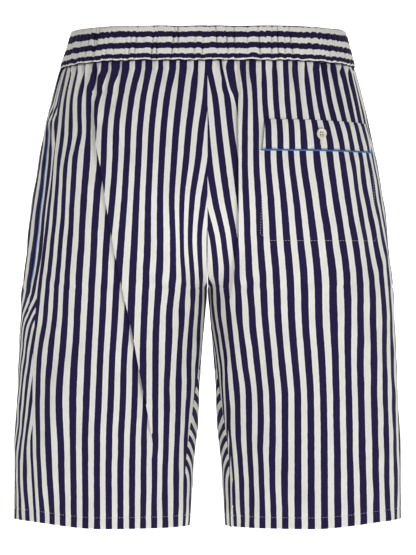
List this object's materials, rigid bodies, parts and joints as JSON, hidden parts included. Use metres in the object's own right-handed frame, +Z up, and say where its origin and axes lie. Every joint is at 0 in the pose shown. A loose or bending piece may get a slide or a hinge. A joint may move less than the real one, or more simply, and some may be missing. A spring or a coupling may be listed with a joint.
{
  "type": "bermuda shorts",
  "caption": "Worn pull-on bermuda shorts in striped cotton, with a gathered elastic waist, a buttoned back flap pocket and piped side pockets.",
  "frame": {"origin": "centre of the waistband ring, halfway up the band, where the wearer's waist holds the shorts", "axes": "+Z up towards the wearer's chest, -Y towards the wearer's back, +X towards the wearer's right"},
  "size_m": [0.411, 0.216, 0.5245],
  "materials": {
    "striped_cloth": "woven cotton poplin in even navy and off-white stripes along the leg",
    "waistband_cloth": "the same striped poplin with its stripes running round the gathered elastic band",
    "blue_piping": "plain blue cotton covered cord",
    "button_resin": "cream four-hole button with a soft gloss"
  },
  "bodies": {
    "root": {"waistband": "waistband_cloth", "back_left": "striped_cloth", "back_right": "striped_cloth", "front_left": "striped_cloth", "front_right": "striped_cloth", "back_pocket_flap": "striped_cloth", "back_pocket_piping": "blue_piping", "side_pocket_piping_left": "blue_piping", "side_pocket_piping_right": "blue_piping", "back_pocket_button": "button_resin"}
  },
  "joints": []
}
